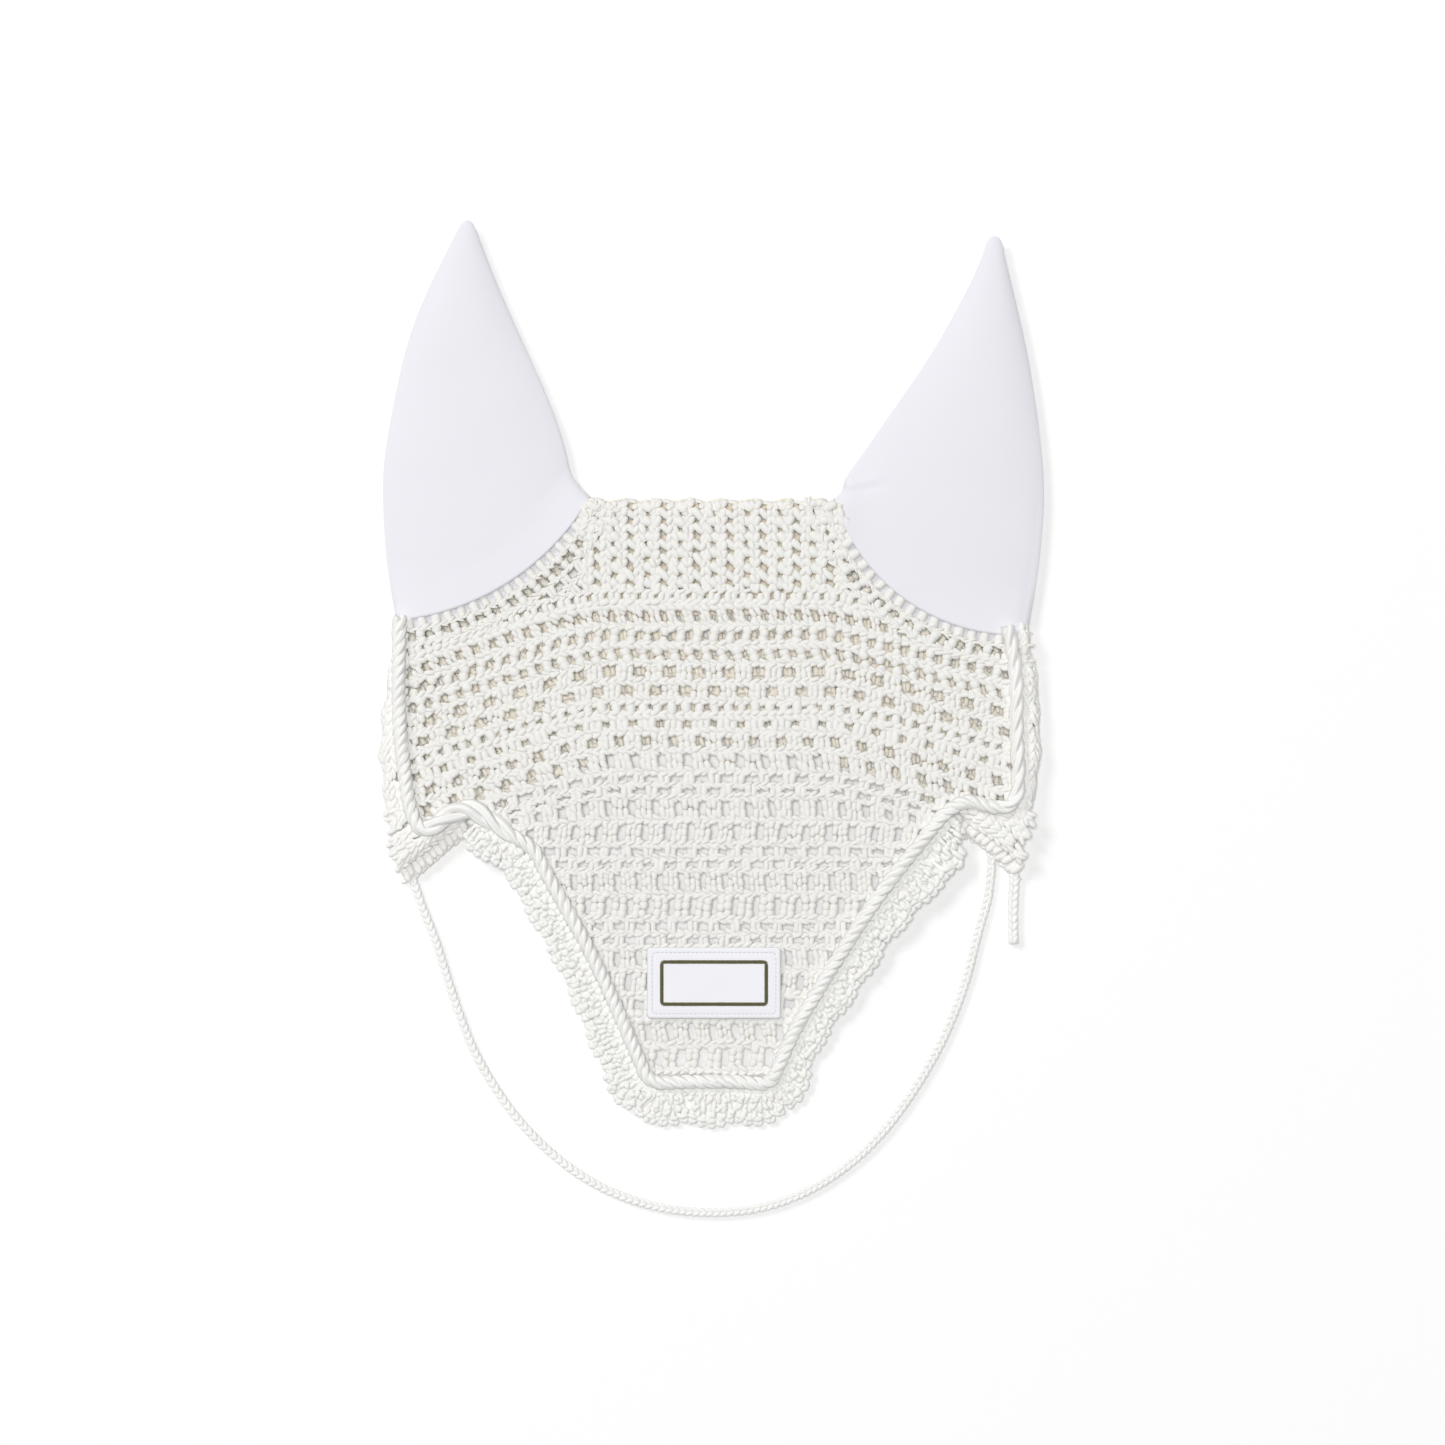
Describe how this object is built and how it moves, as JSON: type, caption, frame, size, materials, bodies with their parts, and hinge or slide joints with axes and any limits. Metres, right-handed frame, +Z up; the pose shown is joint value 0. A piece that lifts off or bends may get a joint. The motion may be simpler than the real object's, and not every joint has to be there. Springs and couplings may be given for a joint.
{
  "type": "horse ear bonnet",
  "caption": "Crocheted fly veil for a horse's head with cloth ear covers, rope-trimmed nose flap, scalloped lace edging and a throat cord, lying flat.",
  "frame": {"origin": "the surface it lies on, under the middle of the bonnet's length and width, measured without the throat cord and its loose end", "axes": "+Y from the nose to the ear tips, +X towards the right ear as seen from the front, +Z up out of the face"},
  "size_m": [0.3519, 0.5257, 0.017],
  "materials": {
    "crochet": "warm white cotton crochet, open mesh of double posts and chains",
    "lace": "warm white cotton shell-stitch lace",
    "rope": "white satin cord twisted from three strands",
    "ear_cloth": "cool white smooth stretch cloth",
    "patch": "white woven patch with a stitched border",
    "thread": "olive satin-stitch embroidery thread",
    "cord": "warm white crocheted chain cord"
  },
  "bodies": {
    "bonnet": {"forehead_panel": "crochet", "crown_band": "crochet", "back_panel": "crochet", "left_side_edging": "crochet", "right_side_edging": "crochet", "left_tab": "crochet", "right_tab": "crochet", "rope_left": "rope", "rope_right": "rope", "left_ear_base_front": "ear_cloth", "left_ear_base_back": "ear_cloth", "right_ear_base_front": "ear_cloth", "right_ear_base_back": "ear_cloth", "cord_tail": "cord"},
    "nose_flap": {"nose_panel": "crochet", "nose_lace": "lace", "rope_nose": "rope", "label_patch": "patch", "label_frame": "thread"},
    "left_ear": {"left_ear_front": "ear_cloth", "left_ear_back": "ear_cloth", "left_ear_seam": "ear_cloth"},
    "right_ear": {"right_ear_front": "ear_cloth", "right_ear_back": "ear_cloth", "right_ear_seam": "ear_cloth"},
    "throat_loop": {"throat_cord": "cord"}
  },
  "joints": [
    {"name": "nose_fold", "type": "hinge", "parent": "bonnet", "child": "nose_flap", "pos_m": [0, -0.062, 0.0122], "axis": [-1, 0, 0], "range_deg": [0, 150]},
    {"name": "left_ear_fold", "type": "hinge", "parent": "bonnet", "child": "left_ear", "pos_m": [-0.11871, 0.06383, 0.0121], "axis": [0.8333, 0.5528, 0], "range_deg": [0, 95]},
    {"name": "right_ear_fold", "type": "hinge", "parent": "bonnet", "child": "right_ear", "pos_m": [0.11871, 0.06383, 0.0121], "axis": [0.8333, -0.5528, 0], "range_deg": [0, 95]},
    {"name": "throat_swing", "type": "hinge", "parent": "bonnet", "child": "throat_loop", "pos_m": [-0.16, -0.1083, 0.0046], "axis": [-0.9997, -0.0247, 0], "range_deg": [0, 135]}
  ]
}
